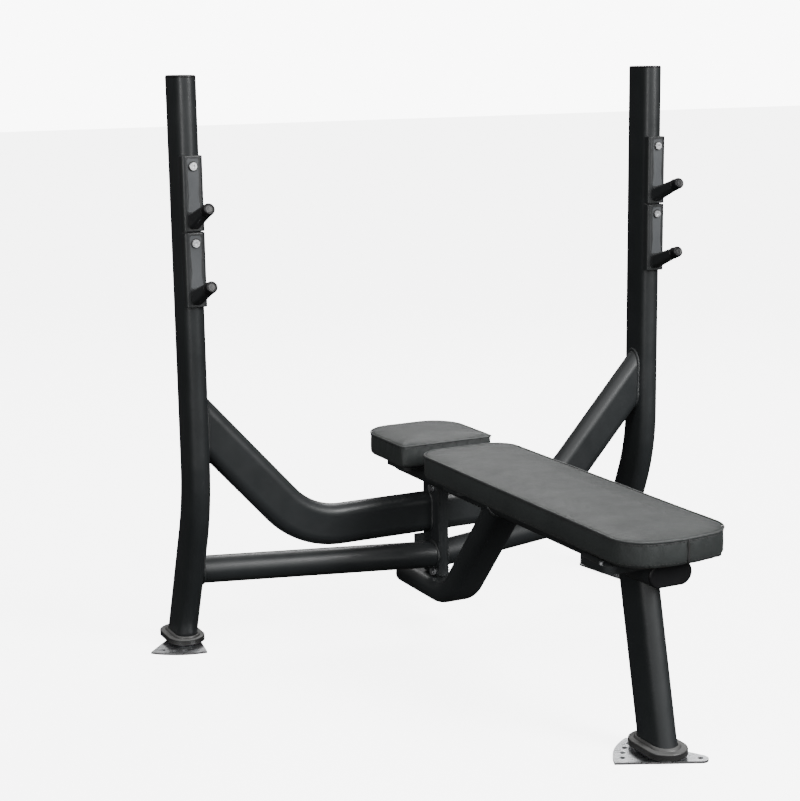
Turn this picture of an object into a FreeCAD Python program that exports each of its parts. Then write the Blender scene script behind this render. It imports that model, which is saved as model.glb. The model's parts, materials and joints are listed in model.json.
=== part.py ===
import FreeCAD, Part
import math
import os
import Sketcher

# Olympic flat bench press: two bent flat-oval uprights joined by an upper and a lower cross tube,
# a bench frame (rail, spine, front leg) bolted to the middle of the rack through three plates,
# two pads, four bar hooks and three anchor plates that swivel under the feet.
# Working frame: X across, +Y from the lifter's feet to the head, Z up, Y = 0 on the uprights.
# Every finished piece is then moved by origin_shift, so that the origin is the centre of the base.

V = FreeCAD.Vector
Z_AXIS = V(0, 0, 1)
SIDES = {"left": -1, "right": 1}

DRIVING = [
    ("origin_shift", 415.77, "moves the base centre onto the origin"),
    ("tube_long", 100, "flat-oval tube, long side"),
    ("tube_short", 50, "flat-oval tube, short side"),
    ("tube_wall", 3, "wall of every frame tube"),
    ("upright_x", 605.6, "centre plane to upright axis"),
    ("upright_top", 1328, "top of the upright tube"),
    ("upright_bend_z", 370.7, "height where the two straight parts of an upright would meet"),
    ("upright_bend_radius", 480, "centre-line radius of the upright's bend"),
    ("leg_slope", 0.3971, "rearward run per unit of drop of the lower upright"),
    ("tube_foot_z", 10, "height of the cut ends of the legs"),
    ("upper_cross_z", 278.3, "centre of the level part of the upper cross tube"),
    ("upper_cross_bend_x", 338, "where its level and slanted parts would meet"),
    ("upper_cross_angle", 48.2, "slant of its outer parts, degrees"),
    ("upper_cross_radius", 200, "centre-line radius of its bends"),
    ("lower_cross_dia", 65, "round lower cross tube"),
    ("lower_cross_mid_y", -26, "its axis on the centre plane"),
    ("lower_cross_mid_z", 173.5, "its axis on the centre plane"),
    ("lower_cross_end_y", 71, "its axis at the uprights"),
    ("lower_cross_end_z", 195.6, "its axis at the uprights"),
    ("plate_thick", 8, "rack flange plates"),
    ("center_thick", 10, "bench centre plate"),
    ("joint_front_y", -56, "front edge of the three joint plates"),
    ("joint_rear_y", 24, "rear edge of the three joint plates"),
    ("spine_z", 96, "centre height of the spine's level part"),
    ("spine_rear_y", 105, "rear end of the spine tube"),
    ("spine_bend_y", -123, "where its two straight parts would meet"),
    ("spine_slope", 1.17, "rise per unit of run of its slanted part"),
    ("spine_radius", 112, "centre-line radius of its bend"),
    ("rail_z", 381, "centre height of the bench rail"),
    ("rail_front_y", -992, "front end of the rail tube"),
    ("rail_rear_y", 110, "rear end of the rail tube"),
    ("front_leg_y", -965.9, "axis of the front leg at the floor"),
    ("front_leg_slope", 0.2232, "rearward run per unit of rise of the front leg"),
    ("cap_thick", 6, "visible part of a tube cap"),
    ("plug_depth", 18, "part of a tube cap inside the tube"),
    ("hook_height", 164.5, "one bar hook casting"),
    ("upper_hook_z", 998, "bottom of the upper hooks"),
    ("lower_hook_z", 831, "bottom of the lower hooks"),
    ("hook_screw_rise", 141.5, "hook screw above the hook's bottom"),
    ("hook_front_y", -59, "front face of the hook castings"),
    ("knob_dia", 27, "end cap of a hook arm"),
    ("knob_length", 24, "end cap of a hook arm"),
    ("collar_low", 13.5, "underside of a foot collar"),
    ("collar_thick", 13, "height of a foot collar"),
    ("collar_long", 142, "length of a foot collar"),
    ("collar_short", 88, "width of a foot collar"),
    ("anchor_thick", 5, "anchor plate"),
    ("anchor_reach", 153, "apex hole to the arc of holes"),
    ("anchor_radius", 172, "apex hole to the outer edge"),
    ("anchor_tip", 16, "radius of the plate's tip"),
    ("anchor_half_angle", 22.5, "half of the sector's angle, degrees"),
    ("anchor_pivot", 77, "apex hole to the swivel axis"),
    ("swivel_offset", -10, "swivel axis from the leg's axis, along Y"),
    ("anchor_hole_dia", 11, "floor anchor holes"),
    ("swivel_dia", 12, "swivel bore of an anchor plate"),
    ("board_z", 411, "underside of the pad boards"),
    ("board_thick", 9, "plywood pad boards"),
    ("pad_thick", 50, "foam pads"),
]

doc = FreeCAD.newDocument("olympic_bench_press")
sheet = doc.addObject("Spreadsheet::Sheet", "Params")
for row, (alias, amount, meaning) in enumerate(DRIVING, start=1):
    sheet.set("A%d" % row, meaning)
    sheet.set("B%d" % row, str(amount))
    sheet.setAlias("B%d" % row, alias)
doc.recompute()
P = {alias: float(sheet.get(alias)) for alias, amount, meaning in DRIVING}

NODES = {}


# ---------------------------------------------------------------- helpers: bodies and sketches

def new_body(label):
    body = doc.addObject("PartDesign::Body", label)
    body.Label = label
    return body


def new_sketch(body, role, offset=0.0, offset_rule=None):
    """Sketch on one of the body's own origin planes, moved along that plane's normal."""
    sketch = body.newObject("Sketcher::SketchObject", body.Label + "_sketch")
    plane = [f for f in body.Origin.OriginFeatures if f.Role == role][0]
    sketch.AttachmentSupport = [(plane, "")]
    sketch.MapMode = "FlatFace"
    sketch.AttachmentOffset = FreeCAD.Placement(V(0, 0, offset), FreeCAD.Rotation())
    if offset_rule:
        sketch.setExpression("AttachmentOffset.Base.z", offset_rule)
    return sketch


def add_slot(sketch, name, size_long, size_short, along_x=False):
    """Flat-oval outline; each size is a pair (number, expression)."""
    radius = size_short[0] / 2
    half = (size_long[0] - size_short[0]) / 2
    centre = V(half, 0, 0) if along_x else V(0, half, 0)
    side = V(0, radius, 0) if along_x else V(radius, 0, 0)
    start = -math.pi / 2 if along_x else 0.0
    first = sketch.addGeometry(
        Part.ArcOfCircle(Part.Circle(centre, Z_AXIS, radius), start, start + math.pi), False)
    sketch.addGeometry(
        Part.ArcOfCircle(Part.Circle(-centre, Z_AXIS, radius), start + math.pi, start + 2 * math.pi),
        False)
    turn = 1 if along_x else -1
    sketch.addGeometry(Part.LineSegment(centre + side * turn, -centre + side * turn), False)
    sketch.addGeometry(Part.LineSegment(-centre - side * turn, centre - side * turn), False)
    for a, a_end, b, b_end in ((0, 2, 2, 1), (2, 2, 1, 1), (1, 2, 3, 1), (3, 2, 0, 1)):
        sketch.addConstraint(Sketcher.Constraint("Tangent", first + a, a_end, first + b, b_end))
    sketch.addConstraint(Sketcher.Constraint("Symmetric", first, 3, first + 1, 3, -1, 1))
    sketch.addConstraint(Sketcher.Constraint("PointOnObject", first, 3, -1 if along_x else -2))
    index = sketch.addConstraint(Sketcher.Constraint("Radius", first, radius))
    sketch.renameConstraint(index, name + "_radius")
    sketch.setExpression("Constraints.%s_radius" % name, "(%s) / 2" % size_short[1])
    kind = "DistanceX" if along_x else "DistanceY"
    index = sketch.addConstraint(Sketcher.Constraint(kind, first + 1, 3, first, 3, 2 * half))
    sketch.renameConstraint(index, name + "_centres")
    sketch.setExpression("Constraints.%s_centres" % name, "(%s) - (%s)" % (size_long[1], size_short[1]))


def add_circle(sketch, name, dia, rule, centre=(0, 0)):
    """Circle whose diameter follows the sheet."""
    circle = Part.Circle(V(centre[0], centre[1], 0), Z_AXIS, dia / 2)
    index = sketch.addGeometry(circle, False)
    bound = sketch.addConstraint(Sketcher.Constraint("Diameter", index, dia))
    sketch.renameConstraint(bound, name)
    sketch.setExpression("Constraints." + name, rule)


def rounded_path(points, radii, closed=False):
    """Straight runs through the points, with a tangent arc of its own radius at each corner."""
    points = [V(p[0], p[1], 0) for p in points]
    count = len(points)
    corners = range(count) if closed else range(1, count - 1)
    cuts = {}
    for i in corners:
        corner = points[i]
        back = (points[i - 1] - corner).normalize()
        ahead = (points[(i + 1) % count] - corner).normalize()
        half = back.getAngle(ahead) / 2
        radius = radii[i] if closed else radii[i - 1]
        reach = radius / math.tan(half)
        middle = corner + (back + ahead).normalize() * (radius / math.sin(half) - radius)
        cuts[i] = (corner + back * reach, middle, corner + ahead * reach)
    edges = []
    for i in range(count if closed else count - 1):
        j = (i + 1) % count
        start = cuts[i][2] if i in cuts else points[i]
        end = cuts[j][0] if j in cuts else points[j]
        edges.append(Part.LineSegment(start, end))
        if j in cuts:
            edges.append(Part.Arc(*cuts[j]))
    return edges


def add_edges(sketch, edges):
    for edge in edges:
        sketch.addGeometry(edge, False)


def pad(body, sketch, length, rule=None, reverse=False):
    feature = body.newObject("PartDesign::Pad", body.Label + "_pad")
    feature.Profile = sketch
    feature.Length = length
    feature.Reversed = reverse
    if rule:
        feature.setExpression("Length", rule)
    return feature


def pocket(body, sketch, length, reverse=False):
    """Pocket of a set depth; stops the build if it points away from the solid."""
    doc.recompute()
    before = body.Shape.Volume
    feature = body.newObject("PartDesign::Pocket", body.Label + "_pocket")
    feature.Profile = sketch
    feature.Length = length
    feature.Reversed = reverse
    doc.recompute()
    if body.Shape.Volume > before - 1:
        raise RuntimeError("pocket cuts nothing in " + body.Label)
    return feature


def fillet(body, radius, picks):
    """Round the edges of the body's tip that the test picks."""
    doc.recompute()
    base = body.Tip
    names = ["Edge%d" % (i + 1) for i, edge in enumerate(base.Shape.Edges) if picks(edge)]
    feature = body.newObject("PartDesign::Fillet", body.Label + "_fillet")
    feature.Base = (base, names)
    feature.Radius = radius
    return feature


def level_edge(height):
    """Test for an edge that lies in one horizontal plane."""
    return lambda edge: abs(edge.BoundBox.ZMin - height) < 0.01 and abs(edge.BoundBox.ZMax - height) < 0.01


def sweep(body, sketch, role, edges):
    """Carry the profile along a path drawn on one of the body's origin planes."""
    path = new_sketch(body, role)
    add_edges(path, edges)
    feature = body.newObject("PartDesign::AdditivePipe", body.Label + "_pipe")
    feature.Profile = sketch
    feature.Spine = (path, ["Edge%d" % (i + 1) for i in range(len(edges))])
    return feature


# ---------------------------------------------------------------- helpers: solids and booleans

def block(label, low, high):
    box = doc.addObject("Part::Box", label)
    box.Length = high[0] - low[0]
    box.Width = high[1] - low[1]
    box.Height = high[2] - low[2]
    box.Placement = FreeCAD.Placement(V(*low), FreeCAD.Rotation())
    return box


def rod(label, start, direction, radius, length):
    cylinder = doc.addObject("Part::Cylinder", label)
    cylinder.Radius = radius
    cylinder.Height = length
    cylinder.Placement = FreeCAD.Placement(V(*start), FreeCAD.Rotation(Z_AXIS, V(*direction)))
    return cylinder


def hexagon(label, start, direction, across_flats, length):
    prism = doc.addObject("Part::Prism", label)
    prism.Polygon = 6
    prism.Circumradius = across_flats / math.sqrt(3)
    prism.Height = length
    prism.Placement = FreeCAD.Placement(V(*start), FreeCAD.Rotation(Z_AXIS, V(*direction)))
    return prism


def cut(label, base, *tools):
    result = base
    for number, tool in enumerate(tools):
        step = doc.addObject("Part::Cut", "%s_cut%d" % (label, number))
        step.Base = result
        step.Tool = tool
        result = step
    result.Label = label
    return result


def common(label, base, tool):
    result = doc.addObject("Part::Common", label + "_common")
    result.Base = base
    result.Tool = tool
    result.Label = label
    return result


def fuse(label, *pieces):
    result = doc.addObject("Part::MultiFuse", label + "_fuse")
    result.Shapes = list(pieces)
    result.Label = label
    return result


def group(label, pieces):
    """Separate solids kept in one node."""
    result = doc.addObject("Part::Compound", label)
    result.Links = pieces
    result.Label = label
    return result


def finish(node, piece):
    """Register a finished piece under its node name and move it to the base-centred frame."""
    piece.Label = node
    base = piece.Placement.Base.y
    piece.setExpression("Placement.Base.y", "Params.origin_shift + (%.4f)" % base)
    NODES[node] = piece
    return piece


OVAL_LONG = (P["tube_long"], "Params.tube_long")
OVAL_SHORT = (P["tube_short"], "Params.tube_short")
BORE_LONG = (P["tube_long"] - 2 * P["tube_wall"], "Params.tube_long - 2 * Params.tube_wall")
BORE_SHORT = (P["tube_short"] - 2 * P["tube_wall"], "Params.tube_short - 2 * Params.tube_wall")
PLUG_GAP = 0.2
HALF_SHORT = P["tube_short"] / 2
RAIL_BOTTOM = P["rail_z"] - HALF_SHORT
RAIL_TOP = P["rail_z"] + HALF_SHORT
JOINT_HALF = P["center_thick"] / 2 + P["plate_thick"]
UPRIGHT_INNER_X = P["upright_x"] - HALF_SHORT
BELOW_FLOOR = 30.0


def oval_cap(label, along_x):
    """Tube cap: a rounded cover and a plug that fills the bore, pointing up from Z = 0."""
    body = new_body(label)
    cover = new_sketch(body, "XY_Plane")
    add_slot(cover, "cover", OVAL_LONG, OVAL_SHORT, along_x)
    pad(body, cover, P["cap_thick"], "Params.cap_thick")
    fillet(body, 4.0, level_edge(P["cap_thick"]))
    plug = new_sketch(body, "XY_Plane")
    gap_rule = " - %g" % (2 * PLUG_GAP)
    plug_long = (BORE_LONG[0] - 2 * PLUG_GAP, BORE_LONG[1] + gap_rule)
    plug_short = (BORE_SHORT[0] - 2 * PLUG_GAP, BORE_SHORT[1] + gap_rule)
    add_slot(plug, "plug", plug_long, plug_short, along_x)
    pad(body, plug, P["plug_depth"], "Params.plug_depth", reverse=True)
    return body


# ---------------------------------------------------------------- legs: uprights and front leg

def foot_axis_y(slope_line, height):
    return slope_line[0] + slope_line[1] * height


UPRIGHT_LINE = (P["upright_bend_z"] * P["leg_slope"], -P["leg_slope"])
FRONT_LINE = (P["front_leg_y"], P["front_leg_slope"])


def leg_blank(label, x, top, points, radii, sizes):
    """Solid flat-oval leg along a path in the YZ plane, from the top down past the floor."""
    body = new_body(label)
    profile = new_sketch(body, "XY_Plane", top)
    add_slot(profile, "oval", *sizes)
    sweep(body, profile, "YZ_Plane", rounded_path(points, radii))
    body.Placement.Base.x = x
    return body


def upright_points(top):
    low = -BELOW_FLOOR
    return [(0, top), (0, P["upright_bend_z"]), (foot_axis_y(UPRIGHT_LINE, low), low)]


def swivel_screw(side, x, y):
    """Shouldered screw under the foot: the anchor plate turns on it."""
    radius = P["swivel_dia"] / 2 - 0.05
    head = rod(side + "_screw_head", (x, y, 0.4), (0, 0, 1), 9.5, 1.8)
    shank = rod(side + "_screw_shank", (x, y, 0.4), (0, 0, 1), radius, 24)
    return fuse(side + "_swivel_screw", head, shank)


def foot_parts(side, x, line, outer):
    """Welded foot plate, rubber collar and swivel screw of one leg."""
    y = foot_axis_y(line, P["anchor_thick"]) + P["swivel_offset"]
    low = P["anchor_thick"] + 0.3
    span = 200
    slab = block(side + "_foot_slab", (x - span, y - span, low), (x + span, y + span, P["tube_foot_z"]))
    plate = common(side + "_foot_blank", outer, slab)
    drill = rod(side + "_foot_drill", (x, y, 0), (0, 0, 1), P["swivel_dia"] / 2 - 0.05, 30)
    finish(side + "_foot_plate", cut(side + "_foot_plate", plate, drill))
    body = new_body(side + "_collar_blank")
    collar_low = P["collar_low"]
    outline = new_sketch(body, "XY_Plane", collar_low, "Params.collar_low")
    add_slot(outline, "rim", (P["collar_long"], "Params.collar_long"),
             (P["collar_short"], "Params.collar_short"))
    pad(body, outline, P["collar_thick"], "Params.collar_thick")
    fillet(body, 3.0, level_edge(collar_low + P["collar_thick"]))
    body.Placement.Base = V(x, foot_axis_y(line, collar_low + P["collar_thick"] / 2), 0)
    finish(side + "_foot_collar", cut(side + "_foot_collar", body, outer))
    finish(side + "_swivel_screw", swivel_screw(side, x, y))
    return y


def trimmed_tube(label, outer, inner, low_z, high_z, drills=()):
    """Hollow leg cut level at both ends."""
    far = 3000
    slab = block(label + "_slab", (-far, -far, low_z), (far, far, high_z))
    shell = cut(label + "_shell", outer, inner, *drills)
    return common(label, shell, slab)


SCREW_HEIGHTS = {
    "upper": P["upper_hook_z"] + P["hook_screw_rise"],
    "lower": P["lower_hook_z"] + P["hook_screw_rise"],
}
SCREW_RADIUS = 5.0
PIVOTS = {}

for side, sign in SIDES.items():
    x = sign * P["upright_x"]
    top = P["upright_top"]
    outer = leg_blank(side + "_upright_outer", x, top, upright_points(top),
                      [P["upright_bend_radius"]], (OVAL_LONG, OVAL_SHORT))
    inner = leg_blank(side + "_upright_bore", x, top + 5, upright_points(top + 5),
                      [P["upright_bend_radius"]], (BORE_LONG, BORE_SHORT))
    drills = [rod("%s_%s_drill" % (side, level), (x, -70, z), (0, 1, 0), SCREW_RADIUS, 40)
              for level, z in SCREW_HEIGHTS.items()]
    tube = trimmed_tube(side + "_upright", outer, inner, P["tube_foot_z"], top, drills)
    finish(side + "_upright", tube)
    cap = oval_cap(side + "_upright_cap", False)
    cap.Placement.Base = V(x, 0, top)
    finish(side + "_upright_cap", cap)
    PIVOTS[side] = (x, foot_parts(side, x, UPRIGHT_LINE, outer))

leg_top = RAIL_BOTTOM + 20
front_points = [(foot_axis_y(FRONT_LINE, z), z) for z in (leg_top, -BELOW_FLOOR)]


def front_blank(label, sizes):
    """The front leg leans, so its profile is set square to its axis."""
    body = new_body(label)
    profile = new_sketch(body, "XY_Plane")
    lean = math.degrees(math.atan(P["front_leg_slope"]))
    turn = FreeCAD.Rotation(V(1, 0, 0), -lean)
    profile.AttachmentOffset = FreeCAD.Placement(V(0, front_points[0][0], leg_top), turn)
    add_slot(profile, "oval", *sizes)
    sweep(body, profile, "YZ_Plane", rounded_path(front_points, []))
    return body


front_outer = front_blank("front_leg_outer", (OVAL_LONG, OVAL_SHORT))
front_inner = front_blank("front_leg_bore", (BORE_LONG, BORE_SHORT))
front_tube = trimmed_tube("front_leg", front_outer, front_inner, P["tube_foot_z"], RAIL_BOTTOM)
finish("front_leg", front_tube)
PIVOTS["front"] = (0, foot_parts("front", 0, FRONT_LINE, front_outer))


# ---------------------------------------------------------------- swivelling anchor plates

ARC_HOLES = 4
ARC_STEP = 9.6
ANCHOR_TURN = {"left": 64.0, "right": 116.0, "front": -43.0}


def anchor_plate(side, pivot, heading):
    """Sector plate: an apex hole, an arc of holes about it, and a swivel bore between them."""
    body = new_body(side + "_anchor_plate")
    outline = new_sketch(body, "XY_Plane")
    half = math.radians(P["anchor_half_angle"])
    reach = P["anchor_radius"]
    tip = P["anchor_tip"]
    touch = math.pi - half - math.acos(tip / reach)
    tip_top = V(tip * math.cos(touch), tip * math.sin(touch), 0)
    corner = V(-reach * math.cos(half), reach * math.sin(half), 0)
    mirrored = lambda point: V(point.x, -point.y, 0)
    outline.addGeometry(Part.Arc(mirrored(tip_top), V(tip, 0, 0), tip_top), False)
    outline.addGeometry(Part.LineSegment(tip_top, corner), False)
    outline.addGeometry(Part.Arc(corner, V(-reach, 0, 0), mirrored(corner)), False)
    outline.addGeometry(Part.LineSegment(mirrored(corner), mirrored(tip_top)), False)
    hole = P["anchor_hole_dia"]
    add_circle(outline, "apex_hole", hole, "Params.anchor_hole_dia")
    for number in range(ARC_HOLES):
        angle = math.radians(180 + ARC_STEP * (number - (ARC_HOLES - 1) / 2))
        centre = (P["anchor_reach"] * math.cos(angle), P["anchor_reach"] * math.sin(angle))
        add_circle(outline, "arc_hole_%d" % number, hole, "Params.anchor_hole_dia", centre)
    add_circle(outline, "swivel_bore", P["swivel_dia"], "Params.swivel_dia", (-P["anchor_pivot"], 0))
    pad(body, outline, P["anchor_thick"], "Params.anchor_thick")
    recess = new_sketch(body, "XY_Plane")
    recess.addGeometry(Part.Circle(V(-P["anchor_pivot"], 0, 0), Z_AXIS, 10.0), False)
    pocket(body, recess, 2.5, reverse=True)
    angle = math.radians(heading)
    arm = P["anchor_pivot"]
    apex = V(pivot[0] + arm * math.cos(angle), pivot[1] + arm * math.sin(angle), 0)
    body.Placement = FreeCAD.Placement(apex, FreeCAD.Rotation(Z_AXIS, heading))
    return body


for side, pivot in PIVOTS.items():
    finish(side + "_anchor_plate", anchor_plate(side, pivot, ANCHOR_TURN[side]))


# ---------------------------------------------------------------- cross tubes of the rack

def side_slab(label, sign):
    """Space between a joint plate's face and the inner face of an upright."""
    near = sign * JOINT_HALF
    far = sign * UPRIGHT_INNER_X
    return block(label, (min(near, far), -400, 0), (max(near, far), 400, 1000))


def upper_cross(side, sign):
    body = new_body(side + "_upper_cross_tube")
    profile = new_sketch(body, "YZ_Plane")
    add_slot(profile, "oval", OVAL_LONG, OVAL_SHORT)
    add_slot(profile, "bore", BORE_LONG, BORE_SHORT)
    profile.AttachmentOffset = FreeCAD.Placement(V(0, P["upper_cross_z"], 0), FreeCAD.Rotation())
    bend = P["upper_cross_bend_x"]
    run = P["upright_x"] + 30 - bend
    rise = run * math.tan(math.radians(P["upper_cross_angle"]))
    height = P["upper_cross_z"]
    points = [(0, height), (sign * bend, height), (sign * (bend + run), height + rise)]
    sweep(body, profile, "XZ_Plane", rounded_path(points, [P["upper_cross_radius"]]))
    return common("upper_cross_" + side, body, side_slab(side + "_upper_slab", sign))


def lower_cross_rods(side, sign):
    """Outer and bore cylinders of one half of the lower cross tube."""
    start = V(0, P["lower_cross_mid_y"], P["lower_cross_mid_z"])
    end = V(sign * P["upright_x"], P["lower_cross_end_y"], P["lower_cross_end_z"])
    along = (end - start).normalize()
    radius = P["lower_cross_dia"] / 2
    begin = start - along * 20
    length = (end - start).Length + 60
    outer = rod(side + "_lower_outer", tuple(begin), tuple(along), radius, length)
    outer.setExpression("Radius", "Params.lower_cross_dia / 2")
    bore = rod(side + "_lower_bore", tuple(begin), tuple(along), radius - P["tube_wall"], length)
    bore.setExpression("Radius", "Params.lower_cross_dia / 2 - Params.tube_wall")
    return outer, bore


for side, sign in SIDES.items():
    finish("upper_cross_" + side, upper_cross(side, sign))
    lower_outer, lower_bore = lower_cross_rods(side, sign)
    ring = cut(side + "_lower_ring", lower_outer, lower_bore)
    half_tube = common("lower_cross_" + side, ring, side_slab(side + "_lower_slab", sign))
    finish("lower_cross_" + side, half_tube)
    if side == "left":
        gusset_high = P["upper_cross_z"] - P["tube_long"] / 2
        gusset_box = block("gusset_box", (-57, -16, P["lower_cross_mid_z"]), (-JOINT_HALF, -10, gusset_high))
        finish("cross_gusset", cut("cross_gusset", gusset_box, lower_outer))


# ---------------------------------------------------------------- bolted joint of rack and bench

SPINE_TOP = P["spine_z"] + HALF_SHORT
JOINT_BOLTS = {"top": (-24.0, 341.0), "bottom": (-29.0, 131.6)}
BOLT_RADIUS = 5.0
BOLT_HOLE = 5.25


def joint_plate(label, x_low, thick, rule, z_low, z_high):
    """Upright plate across the centre of the frame, with a hole for each joint bolt."""
    body = new_body(label)
    outline = new_sketch(body, "YZ_Plane", x_low)
    front = P["joint_front_y"]
    rear = P["joint_rear_y"]
    corners = [(front, z_low), (rear, z_low), (rear, z_high), (front, z_high)]
    add_edges(outline, rounded_path(corners, [4.0] * 4, closed=True))
    for name, place in JOINT_BOLTS.items():
        add_circle(outline, name + "_hole", 2 * BOLT_HOLE, "%g" % (2 * BOLT_HOLE), place)
    pad(body, outline, thick, rule)
    return body


center_half = P["center_thick"] / 2
finish("bench_center_plate", joint_plate("bench_center_plate", -center_half, P["center_thick"],
                                         "Params.center_thick", SPINE_TOP, RAIL_BOTTOM))
for side, sign in SIDES.items():
    x_low = center_half if sign > 0 else -JOINT_HALF
    finish(side + "_flange_plate", joint_plate(side + "_flange_plate", x_low, P["plate_thick"],
                                               "Params.plate_thick", SPINE_TOP + 2.5, RAIL_BOTTOM - 3))

WASHER_THICK = 1.6
HEAD_THICK = 6.5
NUT_THICK = 8.0
HEX_FLATS = 16.5
bolts, nuts, washers = [], [], []
for name, (y, z) in JOINT_BOLTS.items():
    head_x = -JOINT_HALF - WASHER_THICK
    nut_x = JOINT_HALF + WASHER_THICK
    head = hexagon(name + "_bolt_head", (head_x - HEAD_THICK, y, z), (1, 0, 0), HEX_FLATS, HEAD_THICK)
    shank_length = nut_x + NUT_THICK + 5 - head_x
    shank = rod(name + "_bolt_shank", (head_x, y, z), (1, 0, 0), BOLT_RADIUS, shank_length)
    bolts.append(fuse(name + "_bolt", head, shank))
    nut_blank = hexagon(name + "_nut_blank", (nut_x, y, z), (1, 0, 0), HEX_FLATS, NUT_THICK)
    nut_bore = rod(name + "_nut_bore", (nut_x - 1, y, z), (1, 0, 0), BOLT_RADIUS, NUT_THICK + 2)
    nuts.append(cut(name + "_nut", nut_blank, nut_bore))
    for where, x in (("head", head_x), ("nut", JOINT_HALF)):
        disc = rod("%s_%s_disc" % (name, where), (x, y, z), (1, 0, 0), 10.0, WASHER_THICK)
        eye = rod("%s_%s_eye" % (name, where), (x - 1, y, z), (1, 0, 0), BOLT_HOLE, WASHER_THICK + 2)
        washers.append(cut("%s_%s_washer" % (name, where), disc, eye))
finish("joint_bolts", group("joint_bolts", bolts))
finish("joint_nuts", group("joint_nuts", nuts))
finish("joint_washers", group("joint_washers", washers))


# ---------------------------------------------------------------- bench frame

def rail_body(label, hollow):
    body = new_body(label)
    profile = new_sketch(body, "XZ_Plane")
    rear = P["rail_rear_y"]
    profile.AttachmentOffset = FreeCAD.Placement(V(0, P["rail_z"], -rear), FreeCAD.Rotation())
    add_slot(profile, "oval", OVAL_LONG, OVAL_SHORT, True)
    if hollow:
        add_slot(profile, "bore", BORE_LONG, BORE_SHORT, True)
    pad(body, profile, rear - P["rail_front_y"], "Params.rail_rear_y - Params.rail_front_y")
    return body


finish("bench_rail", rail_body("bench_rail", True))
rail_blank = rail_body("rail_blank", False)

spine_body = new_body("spine_sweep")
spine_profile = new_sketch(spine_body, "XZ_Plane")
spine_profile.AttachmentOffset = FreeCAD.Placement(V(0, P["spine_z"], -P["spine_rear_y"]), FreeCAD.Rotation())
add_slot(spine_profile, "oval", OVAL_LONG, OVAL_SHORT, True)
add_slot(spine_profile, "bore", BORE_LONG, BORE_SHORT, True)
spine_rise = P["rail_z"] + 40 - P["spine_z"]
spine_points = [
    (P["spine_rear_y"], P["spine_z"]),
    (P["spine_bend_y"], P["spine_z"]),
    (P["spine_bend_y"] - spine_rise / P["spine_slope"], P["rail_z"] + 40),
]
sweep(spine_body, spine_profile, "YZ_Plane", rounded_path(spine_points, [P["spine_radius"]]))
spine_slab = block("spine_slab", (-100, -800, 0), (100, 400, P["rail_z"]))
spine_trim = common("spine_trim", spine_body, spine_slab)
finish("spine_tube", cut("spine_tube", spine_trim, rail_blank))


def end_cap(node, y, z, facing):
    """Cap of a tube end that faces along Y."""
    cap = oval_cap(node, True)
    turn = FreeCAD.Rotation(Z_AXIS, V(0, facing, 0))
    cap.Placement = FreeCAD.Placement(V(0, y, z), FreeCAD.Rotation(V(1, 0, 0), -90 * facing))
    finish(node, cap)


end_cap("rail_front_cap", P["rail_front_y"], P["rail_z"], -1)
end_cap("rail_rear_cap", P["rail_rear_y"], P["rail_z"], 1)
end_cap("spine_rear_cap", P["spine_rear_y"], P["spine_z"], 1)


# ---------------------------------------------------------------- pads, boards and their plates

PAD_BOLT_RADIUS = 4.0
PAD_BOLT_X = 78.0
PLATE_DEPTH = 15.0
PLATES = {
    "front_pad_plate": (-985.0, -875.0, 139.0),
    "rear_pad_plate": (-320.0, -230.0, 100.0),
    "head_pad_plate": (-50.0, 60.0, 100.0),
}
SIDE_SCREW_X = {"left": -132.3, "right": 132.3}
SIDE_SCREW_Y = -955.0
SIDE_SCREW_RADIUS = 3.0
pad_bolts = []


def bolt_holes(sketch, y, radius):
    for sign in SIDES.values():
        sketch.addGeometry(Part.Circle(V(sign * PAD_BOLT_X, y, 0), Z_AXIS, radius), False)


for node, (front, rear, half_width) in PLATES.items():
    body = new_body(node + "_tray")
    outline = new_sketch(body, "XY_Plane", P["board_z"], "Params.board_z")
    corners = [(-half_width, front), (half_width, front), (half_width, rear), (-half_width, rear)]
    add_edges(outline, rounded_path(corners, [22.0] * 4, closed=True))
    middle = (front + rear) / 2
    pad(body, outline, PLATE_DEPTH, reverse=True)
    lip = 4.0
    hollow = new_sketch(body, "XY_Plane", P["board_z"] - PLATE_DEPTH)
    inside = [(x - math.copysign(lip, x), y - math.copysign(lip, y - middle)) for x, y in corners]
    add_edges(hollow, rounded_path(inside, [18.0] * 4, closed=True))
    pocket(body, hollow, PLATE_DEPTH - (P["board_z"] - RAIL_TOP), reverse=True)
    holes = new_sketch(body, "XY_Plane", P["board_z"])
    bolt_holes(holes, middle, PAD_BOLT_RADIUS + 0.3)
    pocket(body, holes, PLATE_DEPTH)
    drill_radius = SIDE_SCREW_RADIUS + 0.2
    drills = [rod("%s_%s_drill" % (node, side), (x, SIDE_SCREW_Y, 380), (0, 0, 1), drill_radius, 60)
              for side, x in SIDE_SCREW_X.items() if node == "front_pad_plate"]
    finish(node, cut(node, body, rail_blank, *drills))
    for side, sign in SIDES.items():
        head = hexagon("%s_%s_head" % (node, side), (sign * PAD_BOLT_X, middle, RAIL_TOP - 5.5),
                       (0, 0, 1), 13.0, 5.5)
        shank = rod("%s_%s_shank" % (node, side), (sign * PAD_BOLT_X, middle, RAIL_TOP - 1),
                    (0, 0, 1), PAD_BOLT_RADIUS, P["board_z"] - RAIL_TOP + 1 + P["board_thick"] - 1)
        pad_bolts.append(fuse("%s_%s_bolt" % (node, side), head, shank))
finish("pad_bolts", group("pad_bolts", pad_bolts))

side_screws = []
for side, x in SIDE_SCREW_X.items():
    head = rod(side + "_side_screw_head", (x, SIDE_SCREW_Y, P["board_z"]), (0, 0, 1), 4.5, 4)
    low = (x, SIDE_SCREW_Y, P["board_z"] - 14)
    shank = rod(side + "_side_screw_shank", low, (0, 0, 1), SIDE_SCREW_RADIUS, 15)
    side_screws.append(fuse(side + "_side_screw", head, shank))
finish("pad_side_screws", group("pad_side_screws", side_screws))

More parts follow.
